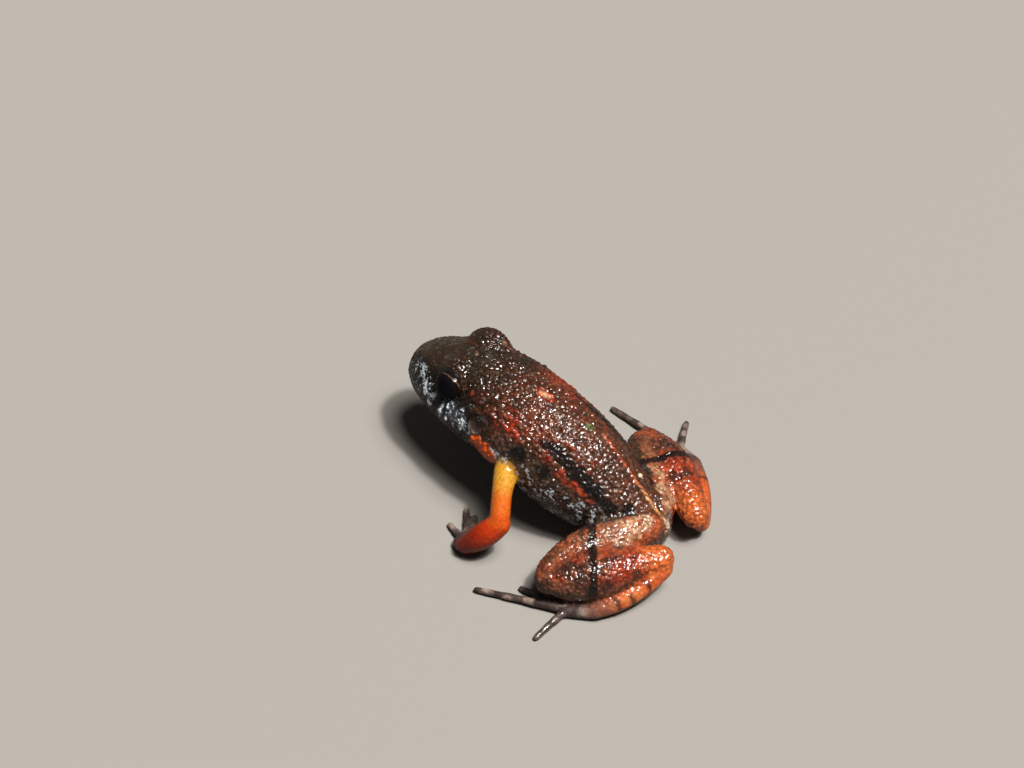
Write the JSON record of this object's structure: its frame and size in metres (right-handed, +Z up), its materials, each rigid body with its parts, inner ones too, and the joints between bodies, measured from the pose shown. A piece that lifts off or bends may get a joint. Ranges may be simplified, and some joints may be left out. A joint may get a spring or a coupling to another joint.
{
  "type": "tropical bullfrog",
  "caption": "Small tropical bullfrog sitting with its front raised and its long hind legs folded, as a still life-size model.",
  "frame": {"origin": "centre of the bounding box's underside, on the floor that the frog sits on", "axes": "-Y the way the body faces, +X the frog's left, +Z up"},
  "size_m": [0.0258, 0.0266, 0.011],
  "materials": {
    "back_skin": "wet, finely warty skin, dark brown with dull red warts",
    "head_skin": "wet skin, dark brown above and blue-grey mottled on the sides",
    "arm_skin": "wet smooth skin, orange to deep red-orange",
    "leg_skin": "wet granular skin, red-orange with black bars",
    "foot_skin": "damp grey-brown skin with pale rings",
    "eye": "polished and wet, near black"
  },
  "bodies": {
    "root": {"head": "head_skin", "torso": "back_skin", "eye_left": "eye", "eye_right": "eye", "upper_arm_left": "arm_skin", "forearm_left": "arm_skin", "hand_left": "foot_skin", "upper_arm_right": "arm_skin", "forearm_right": "arm_skin", "hand_right": "foot_skin", "thigh_left": "leg_skin", "shank_left": "leg_skin", "tarsus_left": "leg_skin", "foot_left": "foot_skin", "thigh_right": "leg_skin", "shank_right": "leg_skin", "tarsus_right": "leg_skin", "foot_right": "foot_skin"}
  },
  "joints": []
}
